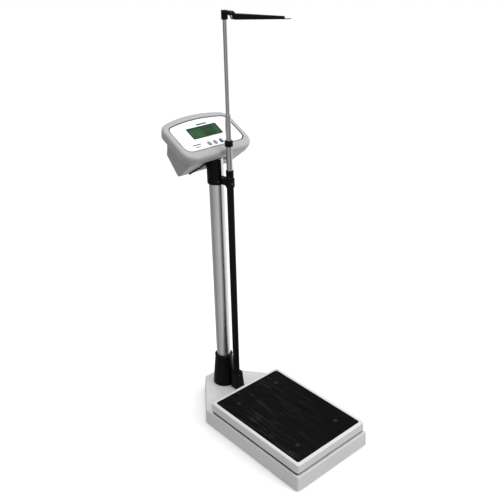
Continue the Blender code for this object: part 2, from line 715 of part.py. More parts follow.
def head_block(looks, head):
    """Fits over the rod; two cheeks in front hold the folding arm's tongue."""
    body = rectangle(HEAD_WIDTH, HEAD_WIDTH, 0.0020, (0, 0), 2)
    block = link("head_block", prism(body, HEAD_BOTTOM_Z, HEAD_TOP_Z),
                 looks["black_plastic"], head)
    plate_low = PIVOT_Z + 0.0098
    top = HEAD_TOP_Z - 0.0003
    cheek = [(0.004, 1.1996), (0.0270, 1.1985)]
    cheek += arc((PIVOT_FORWARD, PIVOT_Z), CHEEK_RADIUS, 200, 400, 12)
    cheek += [(0.0330, plate_low), (0.0270, top), (0.004, top)]
    add(block, side_prism(cheek, HEAD_WIDTH / 2 - 0.0002))
    cut(block, box_between((-TONGUE_WIDTH / 2 - GAP, -0.060, 1.180),
                           (TONGUE_WIDTH / 2 + GAP, -0.0240, plate_low)))
    cut(block, rod(0.0023, -0.020, 0.020, 16), (0, -PIVOT_FORWARD, PIVOT_Z),
        (0, math.pi / 2, 0))
    cut(block, rod(UPPER_ROD[0] + GAP, HEAD_BOTTOM_Z - 0.001, UPPER_ROD[3] + GAP))


def arm_section(forward, half_width, foot, top, chamfer):
    """Cross-section of the arm, its two upper edges chamfered."""
    side = [(half_width, foot), (half_width, top - chamfer), (half_width - chamfer, top)]
    ring = side + [(-x, up) for x, up in reversed(side)]
    return [(x, -forward, up) for x, up in ring]


def head_arm(looks, head):
    """A tapered channel, open below, that folds about the pivot pin."""
    foot, skin = -0.0057, 0.0016
    root, tip = 0.0075, -0.0005          # upper edge at the root and at the end
    start, end = CHEEK_RADIUS + 0.0007, ARM_LENGTH
    wide, narrow = HEAD_WIDTH / 2, ARM_TIP_WIDTH / 2
    place = (0, -PIVOT_FORWARD, PIVOT_Z)
    turn = (-ARM_RISE, 0, 0)
    outer = [arm_section(start, wide, foot, root, 0.0012),
             arm_section(end - 0.002, narrow, foot, tip, 0.0010),
             arm_section(end, narrow - 0.001, foot, tip - 0.002, 0.0008)]
    arm = link("head_arm", loft(outer), looks["black_plastic"], head, place, turn)
    tongue = [(0.0090, -0.0050), (0.0090, 0.0066), (-0.0020, 0.0066), (-0.0062, 0.0030),
              (-0.0062, -0.0010), (-0.0028, -0.0066), (0.0040, -0.0066)]
    add(arm, side_prism(tongue, TONGUE_WIDTH / 2), place, turn)
    inner = [arm_section(start + skin, wide - skin, foot - 0.001, root - skin, 0.0003),
             arm_section(end - 0.0035, narrow - skin, foot - 0.001, tip - skin, 0.0003)]
    cut(arm, loft(inner), place, turn)
    cut(arm, rod(0.0023, -0.020, 0.020, 16), place, (0, math.pi / 2, 0))
    plate_top = foot - GAP
    root_end = start + 0.002
    tip_half = narrow + 0.0012
    outline = [(-wide, -root_end), (-tip_half, -HEAD_PLATE_TIP + 0.003),
               (-tip_half + 0.002, -HEAD_PLATE_TIP), (tip_half - 0.002, -HEAD_PLATE_TIP),
               (tip_half, -HEAD_PLATE_TIP + 0.003), (wide, -root_end)]
    link("head_plate", prism(outline, plate_top - 0.0015, plate_top), looks["black_steel"],
         head, place, turn)


def arm_pivot_pin(looks, head):
    half = HEAD_WIDTH / 2 + GAP
    head_radius, shank = 0.0036, 0.0020
    profile = [(0, -half - 0.0012), (0.0028, -half - 0.0012), (0.0030, -half),
               (shank, -half), (shank, half), (head_radius, half),
               (head_radius, half + 0.0008), (0.0026, half + 0.0016), (0, half + 0.0016)]
    link("arm_pivot_pin", lathe(profile), looks["zinc"], head,
         (0, -PIVOT_FORWARD, PIVOT_Z), (0, -math.pi / 2, 0))


# ---------------------------------------------------------------- indicator

def indicator_bezel(looks, face):
    edge = 0.0075
    seam = -0.0150                       # parting groove round the side
    rings = [(0.0049, -BEZEL_DEPTH), (0.0036, -BEZEL_DEPTH + 0.0014), (0.0008, seam - 0.0004),
             (0.0016, seam), (0.0016, seam + 0.0008), (0.0, seam + 0.0012)]
    for inset, rise in edge_round(edge, 5):
        rings.append((inset, rise - edge))
    body = loft([[(x, s, n) for x, s in bezel_outline(inset)] for inset, n in rings])
    bezel = link("indicator_bezel", body, looks["case"], face)
    plate_rear = -PANEL_RECESS - 0.0025
    cavity = [(BEZEL_SKIN + 0.003, -BEZEL_DEPTH + BEZEL_BACK), (BEZEL_SKIN, -edge - 0.002),
              (BEZEL_SKIN + 0.004, plate_rear)]
    cut(bezel, loft([[(x, s, n) for x, s in bezel_outline(inset)] for inset, n in cavity]))
    low, high = CASE_PROFILE[0][0] + 0.004, CASE_PROFILE[-1][0] - 0.004
    opening = rectangle(2 * CASE_HALF_WIDTH - 0.008, high - low, 0.004, (0, (low + high) / 2))
    cut(bezel, prism(opening, -BEZEL_DEPTH - 0.001, -BEZEL_DEPTH + BEZEL_BACK + 0.001))
    cut(bezel, prism(panel_outline(), -PANEL_RECESS, 0.001))
    width, height = WINDOW_SIZE
    cut(bezel, prism(rectangle(width, height, 0.001), -0.010, 0.001))
    for x in key_places():
        cut(bezel, prism(oval(KEY_SIZE[0] + 4 * GAP, KEY_SIZE[1] + 4 * GAP, (x, KEY_S)),
                         -0.010, 0.001))
    return bezel


def key_places():
    return [KEY_X + KEY_PITCH * i for i in (-1, 0, 1)]


def overlay_panel(looks, face):
    low = -PANEL_RECESS + GAP
    high = low + PANEL_THICKNESS
    panel = link("overlay_panel", prism(panel_outline(0.0006), low, high), looks["panel"],
                 face)
    width, height = WINDOW_SIZE
    cut(panel, prism(rectangle(width, height, 0.001), low - 0.001, high + 0.001))
    for x in key_places():
        cut(panel, prism(oval(KEY_SIZE[0] + 2 * GAP, KEY_SIZE[1] + 2 * GAP, (x, KEY_S)),
                         low - 0.001, high + 0.001))


def display(looks, face):
    width, height = WINDOW_SIZE
    top = -PANEL_RECESS + GAP + PANEL_THICKNESS
    link("lcd_window", prism(rectangle(width - 2 * GAP, height - 2 * GAP, 0.0008),
                             top - 0.0010, top), looks["glass"], face)
    glass_top = top - 0.0010 - GAP
    rear = -0.0120
    step = -PANEL_RECESS - 0.0025 - GAP
    frame, glass = (width + 0.012, height + 0.010), (width - 0.0012, height - 0.0012)
    rings = []
    for (w, h), n in ((frame, rear), (frame, step), (glass, step + 1e-5), (glass, glass_top)):
        rings.append([(x, s, n) for x, s in rectangle(w, h, 0.0006, (0, 0), 1)])
    link("lcd_module", loft(rings), looks["lcd"], face)


def keys(looks, face):
    names = (("key_left", "key_grey"), ("key_middle", "key_grey"), ("key_right", "key_blue"))
    for (name, look), x in zip(names, key_places()):
        width, height = KEY_SIZE
        flange_top = -PANEL_RECESS - 0.0025 - GAP
        sections = [(0.0015, -0.0080), (0.0015, flange_top), (0.0, flange_top + 1e-5),
                    (0.0, -0.0012), (-0.0005, -0.0008), (-0.0014, -0.0006)]
        rings = [[(a, b, n) for a, b in oval(width + 2 * grow, height + 2 * grow)]
                 for grow, n in sections]
        link(name, loft(rings), looks[look], face, (x, KEY_S, 0))


def main_board(looks, face):
    low, high = -0.0145, -0.0128
    outline = rectangle(0.150, 0.098, 0.002, (0, -0.012), 1)
    board = link("main_board", prism(outline, low, high), looks["board"], face)
    for x in key_places():
        add(board, box_between((x - 0.003, KEY_S - 0.003, high - 0.0005),
                               (x + 0.003, KEY_S + 0.003, -0.0092)))
    return board


def case_profile(inset):
    """The rear case's side profile, (s, n), moved inwards; its top edge stays in place."""
    points = [Vector(point) for point in CASE_PROFILE]
    top = CASE_PROFILE[0][1]
    lines = []
    for a, b in zip(points, points[1:]):
        along = (b - a).normalized()
        inward = Vector((-along.y, along.x))
        lines.append((a + inward * inset, along))

    def meet(first, second):
        (p, u), (q, v) = first, second
        cross = u.x * v.y - u.y * v.x
        offset = q - p
        return p + u * ((offset.x * v.y - offset.y * v.x) / cross)

    level = (Vector((0, top)), Vector((1, 0)))
    return [meet(lines[0], level), meet(lines[0], lines[1]), meet(lines[1], lines[2]),
            meet(lines[2], level)]


def rear_case(looks, face):
    """A deep wedge shell behind the bezel, open towards it."""
    half = CASE_HALF_WIDTH
    draft = 0.006

    def shell(inset, lift):
        sections = []
        for side in (-1, 1):
            ring = []
            for i, point in enumerate(case_profile(inset)):
                reach = half - inset - (draft if i in (1, 2) else 0.0)
                up = point.y + (lift if i in (0, 3) else 0.0)
                ring.append((side * reach, point.x, up))
            sections.append(ring)
        return loft(sections)

    body = shell(0.0, 0.0)
    long_edges = [edge for edge in body.edges
                  if any(vert.co.z < CASE_PROFILE[0][1] - 0.001 for vert in edge.verts)]
    bmesh.ops.bevel(body, geom=long_edges, offset=0.006, segments=3, profile=0.5,
                    affect="EDGES", clamp_overlap=True)
    case = link("indicator_rear_case", body, looks["case"], face)
    cut(case, shell(CASE_WALL, 0.001))
    cut_case_openings(case)
    return case


def lower_rear_face():
    """Middle of the case's lower rear face, its angle, and its outward direction, (s, n)."""
    start, end = Vector(CASE_PROFILE[1]), Vector(CASE_PROFILE[2])
    along = (end - start).normalized()
    return (start + end) / 2, math.atan2(along.y, along.x), Vector((along.y, -along.x))


def cut_case_openings(case):
    middle, angle, _ = lower_rear_face()
    turn = (angle, 0, 0)
    width, length, _ = DOOR_SIZE
    cut(case, prism(rectangle(width, length, 0.003), -0.010, 0.010),
        (DOOR_X, middle.x, middle.y), turn)
    cut(case, rod(0.0061, -0.010, 0.010), (POWER_SOCKET_X, middle.x, middle.y), turn)
    front, lowest = Vector(CASE_PROFILE[0]), Vector(CASE_PROFILE[1])
    fall = math.atan2(lowest.y - front.y, lowest.x - front.x)
    along = (lowest - front).normalized()
    # cable hole behind the column, and clearance holes for the two bracket screws
    world_start, world_fall = case_front_plane()
    at_column = (COLUMN_Y - world_start.y) / math.cos(world_fall)
    spot = front + along * at_column
    cut(case, rod(0.0070, -0.010, 0.010), (0, spot.x, spot.y), (fall, 0, 0))
    across, down = INDICATOR_SCREW
    spot = front + along * down
    for side in (-1, 1):
        cut(case, rod(0.0028, -0.010, 0.010, 16), (side * across, spot.x, spot.y),
            (fall, 0, 0))


def case_strips(looks):
    """Two rubber strips under the case that spread towards its lowest edge."""
    start, fall = case_front_plane()
    for side in (-1, 1):
        top = Vector((side * STRIP_TOP[0], STRIP_TOP[1]))
        end = Vector((side * STRIP_END[0], STRIP_END[1]))
        along = (end - top).normalized()
        across = Vector((along.y, -along.x)) * STRIP_SIZE[0] / 2
        outline = [top - across, top + across, end + across, end - across]
        body = prism([(point.x, point.y) for point in outline], -GAP - STRIP_SIZE[1], -GAP)
        name = "case_strip_" + ("left" if side < 0 else "right")
        link(name, body, looks["rubber"], None, start, (-fall, 0, 0))


def battery_pack(looks, face):
    middle, angle, outward = lower_rear_face()
    depth = 0.026
    centre = middle - outward * (CASE_WALL + 0.004 + depth / 2)
    pack = link("battery_pack", box((0.098, 0.050, depth)), looks["battery"], face,
                (DOOR_X, centre.x, centre.y), (angle, 0, 0))
    bevel(pack, 0.003, 2)


def battery_door(looks, face):
    """A lid flush with the case's lower rear face, hinged along its upper rear edge."""
    middle, angle, outward = lower_rear_face()
    width, length, thickness = DOOR_SIZE
    clearance = 0.0007
    along = Vector((math.cos(angle), math.sin(angle)))
    hinge = middle + along * (length / 2 - HINGE_INSET) - outward * 0.0002
    inner = rectangle(width - 2 * clearance, length - 2 * clearance, 0.0025,
                      (0, -(length / 2 - HINGE_INSET)), 2)
    link("battery_door", prism(inner, 0.0, thickness), looks["case"], face,
         (DOOR_X, hinge.x, hinge.y), (angle, 0, 0))


def power_socket(looks, face):
    middle, angle, _ = lower_rear_face()
    profile = [(0.0016, 0.0), (0.0058, 0.0), (0.0058, 0.0100), (0.0030, 0.0120),
               (0, 0.0120), (0, 0.0090), (0.0016, 0.0090)]
    link("power_socket", lathe(profile), looks["black_plastic"], face,
         (POWER_SOCKET_X, middle.x, middle.y), (angle, 0, 0))


def signal_cable(looks):
    """From the load cell along the base and up the column to the main board."""
    run_z, bend = 0.026, 0.008
    start = PLATFORM_Y + 0.0655
    top = face_point(0, -0.0585, -0.0165).z
    path = [(start, run_z)]
    path += arc((COLUMN_Y - bend, run_z + bend), bend, -90, 0, 4)
    path += [(COLUMN_Y, top)]
    curve = bpy.data.curves.new("signal_cable", "CURVE")
    curve.dimensions = "3D"
    curve.bevel_depth = 0.0022
    curve.bevel_resolution = 1
    curve.use_fill_caps = True
    spline = curve.splines.new("POLY")
    spline.points.add(len(path) - 1)
    for point, (y, z) in zip(spline.points, path):
        point.co = (0, y, z, 1)
    made = bpy.data.objects.new("signal_cable", curve)
    curve.materials.append(looks["black_plastic"])
    bpy.context.scene.collection.objects.link(made)


# ---------------------------------------------------------------- assembly

def build():
    clear_scene()
    looks = make_materials()

    base_cover(looks)
    base_frame(looks)
    column_bolts(looks)
    levelling_feet(looks)
    load_cell(looks)
    platform_support(looks)
    platform_tray(looks)
    platform_mat(looks)

    column_socket(looks)
    column_tube(looks)
    indicator_bracket(looks)

    rod_foot(looks)
    rod_outer_tube(looks)
    rod_bracket(looks)
    lock_ring("lower_lock_ring", looks, LOWER_TUBE[0] + GAP, 0.0112, *LOWER_RING_Z)
    lock_ring("upper_lock_ring", looks, MIDDLE_TUBE[0] + GAP, 0.0118, *UPPER_RING_Z)
    telescopic_tubes(looks)
    head = empty("head_frame", (ROD_X, ROD_Y, 0))
    head_block(looks, head)
    head_arm(looks, head)
    arm_pivot_pin(looks, head)

    face = empty("indicator_frame", FACE_CENTRE, (FACE_TILT, 0, 0))
    indicator_bezel(looks, face)
    rear_case(looks, face)
    case_strips(looks)
    overlay_panel(looks, face)
    display(looks, face)
    keys(looks, face)
    main_board(looks, face)
    battery_pack(looks, face)
    battery_door(looks, face)
    power_socket(looks, face)
    signal_cable(looks)


build()
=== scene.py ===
"""Looks of the column weighing scale: fine surfaces, materials, light and camera."""

import json
import math

import bmesh
import bpy
from mathutils import Matrix, Vector


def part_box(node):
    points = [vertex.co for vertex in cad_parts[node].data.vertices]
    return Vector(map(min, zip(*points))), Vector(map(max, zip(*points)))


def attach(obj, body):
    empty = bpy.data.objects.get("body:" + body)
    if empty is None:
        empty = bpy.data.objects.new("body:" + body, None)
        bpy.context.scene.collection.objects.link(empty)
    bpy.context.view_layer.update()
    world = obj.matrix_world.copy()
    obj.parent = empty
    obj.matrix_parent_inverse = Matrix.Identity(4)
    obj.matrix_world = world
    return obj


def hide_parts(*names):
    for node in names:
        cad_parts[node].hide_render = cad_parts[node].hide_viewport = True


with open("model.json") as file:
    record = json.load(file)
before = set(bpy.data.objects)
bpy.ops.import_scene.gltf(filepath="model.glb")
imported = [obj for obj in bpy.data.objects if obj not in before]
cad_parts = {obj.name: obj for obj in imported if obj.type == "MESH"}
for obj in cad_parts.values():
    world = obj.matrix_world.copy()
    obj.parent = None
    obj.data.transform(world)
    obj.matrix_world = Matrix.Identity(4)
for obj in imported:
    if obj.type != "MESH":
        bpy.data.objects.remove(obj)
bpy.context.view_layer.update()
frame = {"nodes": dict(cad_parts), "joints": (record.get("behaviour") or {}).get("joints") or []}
nodes = frame["nodes"]
joints = {joint["name"]: joint for joint in frame["joints"]}

STAND = "stand"

# Shading and rounding shared by all pieces
SHARP_ANGLE = math.radians(35)
EDGE_SEGMENTS = 2
COAT_ROUGHNESS = 0.2

# Ribbed platform mat
RIB_PITCH = 0.0030
RIB_DEPTH = 0.00055
RIB_GROOVE = (0.0004, 0.0010, 0.0014)   # across a groove: floor's start and end, far edge
MAT_CORNER = 0.0055
MAT_EDGE = 0.0010
MAT_EDGE_STEPS = 4
MARK_RADIUS = 0.0066
MARK_STEPS = 32
# Rings of a moulded mark: share of its radius, height above the mat
MARK_RINGS = ((1.0, -0.0006), (1.0, 0.0002), (0.91, 0.0006), (0.73, 0.0006),
              (0.67, 0.0001), (0.24, 0.0), (0.15, 0.0005))

# Digits of the display: shares of the window's height, then of a digit's height
DIGIT_HEIGHT = 0.80
DIGIT_WIDTH = 0.37
DIGIT_STEP = 0.47
DIGIT_MARGIN = 0.60             # from the window's right edge to the last digit's middle
DIGIT_PLACES = 6
LIT_PLACES = 3
SEGMENT_WIDTH = 0.115
SEGMENT_GAP = 0.03              # share of a segment's width left free at its tips
POINT_RADIUS = 0.06
POINT_RISE = 0.02
POINT_STEPS = 12
DIGIT_LIFT = 0.00003            # above the display glass

# Print on the white panel, and a painted shade line round it
PRINT_THICKNESS = 0.00005
PRINT_LIFT = 0.00002
PANEL_SHADE_LINE = 0.0026             # painted shade: a dark line round the white panel, standing in for the shadow at its recess edge
WINDOW_MASK = 0.0013            # how far the dark frame reaches over the display window
WINDOW_FRAME = 0.0028           # and how far round it
WINDOW_CORNERS = (0.0014, 0.0006)       # outer and inner corner radius of that frame
RING_OUTSIDE = 0.0002           # a key's ring, beyond and within the key's edge
RING_INSIDE = 0.0007
TICKS = 7
TICK_START, TICK_STEP, TICK_WIDTH = -0.02, 0.07, 0.045      # shares of the window's width
TICK_DROP, TICK_HEIGHT, TICK_CORNER = 0.0060, 0.0008, 0.0003
# Plain bars: middle across and up from the window's, width, height
BLUE_BAR = (0.0080, 0.0300, 0.0370, 0.0050)
GREY_BARS = ((-0.0585, -0.0435, 0.0290, 0.0036), (-0.0580, -0.0520, 0.0170, 0.0030))
BAR_CORNER = 0.45               # share of a bar's height

# Raised marks on the keys
MARK_SINK, MARK_RISE = 0.00002, 0.00010
KEY_BAR = (0.0011, 0.0050, 0.0005)      # width, height, corner radius
KEY_OVAL = ((0.0034, 0.0050), (0.0024, 0.0040))     # outer and inner width and height
KEY_RING = (0.0022, 0.0016)             # outer and inner radius
KEY_STEM = (0.0007, 0.0026, 0.0003)     # width, height, corner radius
KEY_STEM_UP, KEY_STEM_RISE = 0.0020, 0.00004
ROUND_STEPS = 40

# Brightness of the studio by direction, in degrees to the right of the camera
STUDIO = ((-180, 0.90), (-140, 0.46), (-108, 0.46), (-94, 0.32), (-78, 0.32), (-60, 0.54),
          (-20, 0.62), (-4, 0.86), (14, 0.86), (28, 0.48), (48, 0.29), (60, 0.40), (78, 0.80),
          (112, 1.30), (150, 1.30), (180, 1.00))
CEILING = 1.14
CEILING_RISE = (0.45, 0.85)     # upward share of a direction where walls turn to ceiling
FLOOR_COLOUR = (0.90, 0.90, 0.90, 1)
FLOOR_BOUNCE = 0.36             # how much of its light the floor gives back to the object
FLOOR_GLOW = 0.14
FLOOR_HALF = 40.0
FLOOR_Z = -0.0002

# Lights: place, width of the square panel, power
KEY_LIGHT = ((1.0, -2.8, 2.2), 1.4, 42)
TOP_LIGHT = ((0.0, 0.0, 3.2), 2.0, 14)
LIGHT_AIM = (0, 0, 0.4)

CAMERA_AZIMUTH, CAMERA_ELEVATION, CAMERA_ROLL = -40.86, 25.29, -1.28
CAMERA_PLACE = (-1.176, -1.318, 1.417)
CAMERA_LENS = 50.47
CAMERA_SENSOR = 36
CAMERA_REACH = (0.05, 50)


# ---------------------------------------------------------------- where things are

def middle(node):
    """Middle of a node's box at rest."""
    low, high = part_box(node)
    return (low + high) / 2


def indicator_frame():
    """Matrix of the indicator's face: x across, y up its slope, z out of it."""
    press = Vector(joints["middle_key_press"]["axis"]).normalized()
    out = -press
    up = out.cross(Vector((1, 0, 0)))
    turn = Matrix((Vector((1, 0, 0)), up, out)).transposed().to_4x4()
    return Matrix.Translation(middle("lcd_window")) @ turn


FACE = indicator_frame()


def span(node, place):
    """Lowest and highest corner of a node in another frame."""
    back = place.inverted()
    points = [back @ vertex.co for vertex in nodes[node].data.vertices]
    low = Vector([min(point[i] for point in points) for i in range(3)])
    high = Vector([max(point[i] for point in points) for i in range(3)])
    return low, high


# ---------------------------------------------------------------- materials

class Nodes:
    """A material's node tree, with short calls for the nodes used here."""

    def __init__(self, name):
        self.material = bpy.data.materials.new(name)
        self.material.use_nodes = True
        self.tree = self.material.node_tree
        self.shader = self.tree.nodes["Principled BSDF"]
        self.place = self.tree.nodes.new("ShaderNodeTexCoord").outputs["Object"]

    def link(self, source, target):
        """Join an output to an input."""
        self.tree.links.new(source, target)

    def node(self, kind, inputs=None, **settings):
        """A new node; inputs are values or other nodes' outputs."""
        made = self.tree.nodes.new(kind)
        for key, value in settings.items():
            setattr(made, key, value)
        for key, value in (inputs or {}).items():
            if isinstance(value, bpy.types.NodeSocket):
                self.link(value, made.inputs[key])
            else:
                made.inputs[key].default_value = value
        return made

    def stretched(self, stretch):
        """The object's coordinates, scaled along each axis."""
        return self.node("ShaderNodeMapping",
                         {"Vector": self.place, "Scale": stretch}).outputs["Vector"]

    def noise(self, scale, detail, stretch=None, roughness=0.55):
        """Cloudy values from 0 to 1 over the object's coordinates."""
        where = self.stretched(stretch) if stretch else self.place
        made = self.node("ShaderNodeTexNoise", {"Vector": where, "Scale": scale,
                                                "Detail": detail, "Roughness": roughness})
        return made.outputs["Fac"]

    def remap(self, value, low, high, out_low, out_high):
        """Straight-line map of a value from one span to another, kept inside it."""
        made = self.node("ShaderNodeMapRange", {0: value, 1: low, 2: high, 3: out_low,
                                                4: out_high})
        return made.outputs[0]

    def blend(self, share, first, second):
        """Mix of two colours."""
        made = self.node("ShaderNodeMix", data_type="RGBA")
        for index, value in ((0, share), (6, first), (7, second)):
            if isinstance(value, bpy.types.NodeSocket):
                self.link(value, made.inputs[index])
            else:
                made.inputs[index].default_value = value
        return made.outputs[2]

    def bump(self, height, strength, distance):
        """Surface normal of a fine relief."""
        made = self.node("ShaderNodeBump", {"Height": height, "Strength": strength,
                                            "Distance": distance})
        return made.outputs["Normal"]

    def set(self, **inputs):
        """Set or connect inputs of the main shader; _ stands for a space."""
        for key, value in inputs.items():
            socket = self.shader.inputs[key.replace("_", " ")]
            if isinstance(value, bpy.types.NodeSocket):
                self.link(value, socket)
            else:
                socket.default_value = value


def shade(colour, factor):
    """A lighter or darker version of a colour."""
    return (*(min(1.0, part * factor) for part in colour), 1.0)


def surface(name, colour, roughness, metallic=0.0, grain=900.0, grain_depth=0.00004,
            grain_strength=0.25, stretch=None, variation=0.05, spread=0.08, coat=0.0,
            wear=0.0, wear_colour=(0.5, 0.5, 0.5), specular=0.5):
    """Colour with slow variation, patchy gloss, a fine grain and slightly worn edges."""
    made = Nodes(name)
    slow = made.noise(9.0, 4.0)
    smudge = made.noise(38.0, 5.0)
    fine = made.noise(grain, 2.0, stretch)
    tint = made.remap(slow, 0.3, 0.7, 0.0, 1.0)
    base = made.blend(tint, shade(colour, 1 - variation), shade(colour, 1 + variation))
    if wear:
        edge = made.node("ShaderNodeNewGeometry").outputs["Pointiness"]
        worn = made.remap(edge, 0.52, 0.60, 0.0, wear)
        base = made.blend(worn, base, (*wear_colour, 1.0))
    rough = made.remap(smudge, 0.3, 0.7, max(0.02, roughness - spread), roughness + spread)
    made.set(Base_Color=base, Roughness=rough, Metallic=metallic, Coat_Weight=coat,
             Normal=made.bump(fine, grain_strength, grain_depth))
    made.shader.inputs["Coat Roughness"].default_value = COAT_ROUGHNESS
    made.shader.inputs["Specular IOR Level"].default_value = specular
    return made


def paint():
    """Light grey powder coat with a faint orange-peel skin."""
    made = surface("light_grey_paint", (0.60, 0.605, 0.605), 0.42, grain=650.0,
                   grain_depth=0.00006, grain_strength=0.30, variation=0.02, coat=0.15,
                   wear=0.25, wear_colour=(0.74, 0.74, 0.74))
    return made.material


def satin_steel():
    """Ground steel: fine lines along the column, soft gloss."""
    made = surface("satin_steel", (0.56, 0.565, 0.57), 0.34, 1.0, grain=60.0,
                   stretch=(60.0, 60.0, 0.3), grain_depth=0.000004, grain_strength=0.06,
                   variation=0.03, spread=0.03)
    return made.material


def chrome():
    """Chromed tube, slightly dulled, with faint lines along it."""
    made = surface("chrome", (0.37, 0.37, 0.375), 0.11, 1.0, grain=70.0,
                   stretch=(50.0, 50.0, 0.5), grain_depth=0.000003, grain_strength=0.05,
                   variation=0.03, spread=0.04)
    return made.material


def zinc():
    """Zinc-plated fasteners."""
    made = surface("zinc_plated_steel", (0.60, 0.60, 0.58), 0.30, 1.0, grain=1500.0,
                   grain_strength=0.2, variation=0.08)
    return made.material


def dark_steel():
    """Black-oxide screw steel with an oily sheen."""
    made = surface("dark_steel", (0.055, 0.055, 0.058), 0.36, 0.8, grain=1600.0,
                   grain_strength=0.25, variation=0.15)
    return made.material


def aluminium():
    """Machined bar with lines across it."""
    made = surface("machined_aluminium", (0.68, 0.68, 0.69), 0.34, 1.0, grain=80.0,
                   stretch=(1.0, 60.0, 60.0), grain_strength=0.2, variation=0.04)
    return made.material


def black_plastic():
    """Moulded black plastic with a fine spark-eroded grain."""
    made = surface("black_plastic", (0.0028, 0.0028, 0.0031), 0.34, grain=1400.0,
                   grain_depth=0.00004, grain_strength=0.25, variation=0.2, spread=0.07,
                   wear=0.2, wear_colour=(0.02, 0.02, 0.02), specular=0.07)
    return made.material


def black_coat_and_gap_shade():
    """Satin black coating on steel tube; on the platform support the black also stands in for
    the painted shade in the gap under the tray.
    """
    made = surface("black_coat_and_gap_shade", (0.0025, 0.0025, 0.0028), 0.30, grain=800.0,
                   grain_depth=0.00003, grain_strength=0.15, variation=0.2,
                   wear=0.15, wear_colour=(0.03, 0.03, 0.03), specular=0.08)
    return made.material


def rubber():
    """Matt black rubber, with pale streaks along it that grow towards the rear left."""
    made = Nodes("black_rubber")
    streak = made.noise(11.0, 7.0, (30.0, 1.0, 30.0), 0.70)
    broad = made.noise(5.0, 2.0)
    fine = made.noise(1600.0, 2.0)
    middle_point = middle("platform_mat")
    from_middle = made.node("ShaderNodeVectorMath", {0: made.place, 1: middle_point},
                            operation="SUBTRACT").outputs[0]
    corner = made.node("ShaderNodeVectorMath", {0: from_middle, 1: (-4.0, 2.6, 0.0)},
                       operation="DOT_PRODUCT").outputs["Value"]
    uneven = made.node("ShaderNodeMath", {0: corner, 1: broad}, operation="ADD").outputs[0]
    pale_streaks = made.remap(streak, 0.55, 0.74, 0.0, 1.0)
    patchy = made.remap(uneven, 0.1, 1.2, 0.10, 1.0)
    share = made.node("ShaderNodeMath", {0: pale_streaks, 1: patchy}, operation="MULTIPLY")
    base = made.blend(share.outputs[0], (0.0018, 0.0018, 0.0021, 1), (0.110, 0.110, 0.112, 1))
    rough = made.remap(broad, 0.3, 0.7, 0.60, 0.80)
    made.set(Base_Color=base, Roughness=rough, Normal=made.bump(fine, 0.4, 0.00008))
    made.shader.inputs["Specular IOR Level"].default_value = 0.07
    return made.material


def case_plastic(name="grey_case_plastic", colour=(0.365, 0.37, 0.375)):
    """Light grey moulded plastic with a fine leathery grain and slightly paler edges."""
    made = surface(name, colour, 0.38, grain=1100.0,
                   grain_depth=0.00006, grain_strength=0.45, variation=0.03, spread=0.05,
                   wear=0.2, wear_colour=(0.6, 0.6, 0.6))
    return made.material


def white_film():
    """Back-printed polyester film: white, smooth, faintly pebbled."""
    made = surface("white_film", (0.86, 0.865, 0.87), 0.28, grain=1800.0,
                   grain_depth=0.00002, grain_strength=0.25, variation=0.01, spread=0.04,
                   coat=0.3)
    return made.material


def display_glass():
    """Thin clear window with faint smudges."""
    made = Nodes("display_window")
    smudge = made.noise(60.0, 5.0)
    made.set(Base_Color=(0.01, 0.02, 0.01, 1), Alpha=0.06,
             Roughness=made.remap(smudge, 0.4, 0.7, 0.04, 0.14))
    made.shader.inputs["Specular IOR Level"].default_value = 0.15
    return made.material


def display_green():
    """Reflective liquid crystal glass: green, a little darker to one side."""
    made = Nodes("display_green")
    slow = made.noise(22.0, 2.0)
    fine = made.noise(2500.0, 1.0)
    base = made.blend(made.remap(slow, 0.3, 0.7, 0, 1), (0.026, 0.108, 0.040, 1),
                      (0.036, 0.135, 0.054, 1))
    made.set(Base_Color=base, Roughness=0.40, Normal=made.bump(fine, 0.1, 0.00002))
    made.shader.inputs["Specular IOR Level"].default_value = 0.15
    return made.material


def plain(name, colour, roughness, **more):
    """A smooth part or print with a fine grain and slight colour variation."""
    return surface(name, colour, roughness, grain=1300.0, variation=0.06, **more).material


def make_looks():
    """All materials by short name."""
    return {
        "paint": paint(), "satin": satin_steel(), "chrome": chrome(), "zinc": zinc(),
        "dark_steel": dark_steel(), "aluminium": aluminium(), "black": black_plastic(),
        "coat": black_coat_and_gap_shade(), "rubber": rubber(), "case": case_plastic(),
        "film": white_film(),
        "rear_case": case_plastic("grey_rear_case_plastic", (0.27, 0.273, 0.277)),
        "glass": display_glass(), "green": display_green(),
        "segment": plain("display_segment", (0.0012, 0.004, 0.0018), 0.5, specular=0.1),
        "ghost": plain("display_unlit_segment", (0.024, 0.098, 0.036), 0.5, specular=0.15),
        "frame": plain("display_print", (0.004, 0.016, 0.007), 0.45, specular=0.15),
        # Dark print, also used for the painted shade line round the white panel
        "print_and_shade_dark": plain("dark_print_and_painted_shade", (0.05, 0.05, 0.052), 0.45, specular=0.2),
        "print_blue": plain("blue_print", (0.010, 0.016, 0.10), 0.45, specular=0.2),
        "print_grey": plain("grey_print", (0.24, 0.245, 0.25), 0.45),
        "key_grey": plain("key_grey", (0.21, 0.21, 0.225), 0.42, specular=0.3),
        "key_blue": plain("key_blue", (0.006, 0.011, 0.09), 0.42, specular=0.2),
        "mark": plain("mat_mark", (0.009, 0.009, 0.0095), 0.5, specular=0.15),
        "key_mark": plain("key_mark", (0.50, 0.52, 0.56), 0.4),
        "board": plain("circuit_board", (0.015, 0.13, 0.05), 0.4, coat=0.3),
        "battery": plain("battery_wrap", (0.03, 0.07, 0.30), 0.35, coat=0.4),
    }


LOOKS = make_looks()


# ---------------------------------------------------------------- CAD nodes that stay

